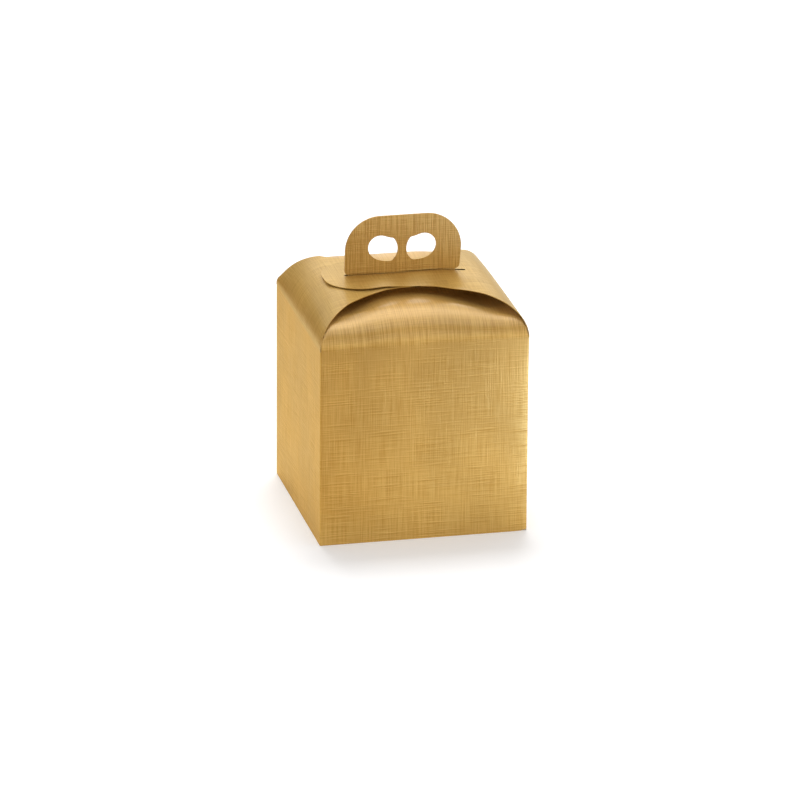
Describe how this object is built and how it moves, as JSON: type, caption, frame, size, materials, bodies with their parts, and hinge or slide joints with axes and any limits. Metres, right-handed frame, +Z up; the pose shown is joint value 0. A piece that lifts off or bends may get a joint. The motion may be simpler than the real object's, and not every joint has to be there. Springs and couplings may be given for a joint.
{
  "type": "panettone box",
  "caption": "Folding card carry box for a domed cake, with bowed shoulders, slotted locking flaps and an upright handle with finger holes.",
  "frame": {"origin": "centre of the base, on the surface that the box stands on", "axes": "+Z up along the handle, -Y out of the front wall, +X towards the outer locking flap's wall"},
  "size_m": [0.2, 0.2, 0.2888],
  "materials": {
    "gold_card": "satin metallic gold with a linen emboss",
    "bare_board": "matt uncoated board"
  },
  "bodies": {
    "carton": {"front_wall": "gold_card", "back_wall": "gold_card", "left_wall": "gold_card", "right_wall": "gold_card", "glue_strip": "bare_board", "bottom_front_flap": "gold_card", "bottom_back_flap": "gold_card", "bottom_left_flap": "gold_card", "bottom_right_flap": "gold_card"},
    "outer_locking_flap": {"outer_flap": "gold_card", "outer_tongue": "gold_card"},
    "inner_locking_flap": {"inner_flap": "gold_card", "inner_tongue": "gold_card"},
    "front_shoulder": {"front_flap": "gold_card"},
    "back_shoulder": {"back_flap": "gold_card"},
    "front_leaf": {"front_handle": "gold_card"},
    "back_leaf": {"back_handle": "gold_card"}
  },
  "joints": [
    {"name": "outer_flap_crease", "type": "hinge", "parent": "carton", "child": "outer_locking_flap", "pos_m": [0.1, 0, 0.193], "axis": [0, 1, 0], "range_deg": [0, 115], "deforming": ["outer_tongue"]},
    {"name": "inner_flap_crease", "type": "hinge", "parent": "carton", "child": "inner_locking_flap", "pos_m": [-0.1, 0, 0.193], "axis": [0, -1, 0], "range_deg": [0, 115], "deforming": ["inner_tongue"]},
    {"name": "front_flap_crease", "type": "hinge", "parent": "carton", "child": "front_shoulder", "pos_m": [0, -0.1, 0.193], "axis": [1, 0, 0], "range_deg": [0, 115]},
    {"name": "back_flap_crease", "type": "hinge", "parent": "carton", "child": "back_shoulder", "pos_m": [0, 0.1, 0.193], "axis": [-1, 0, 0], "range_deg": [0, 115]},
    {"name": "front_leaf_crease", "type": "hinge", "parent": "front_shoulder", "child": "front_leaf", "pos_m": [0, -0.00075, 0.2319], "axis": [1, 0, 0], "range_deg": [0, 80]},
    {"name": "back_leaf_crease", "type": "hinge", "parent": "back_shoulder", "child": "back_leaf", "pos_m": [0, 0.00075, 0.2319], "axis": [-1, 0, 0], "range_deg": [0, 80]}
  ]
}
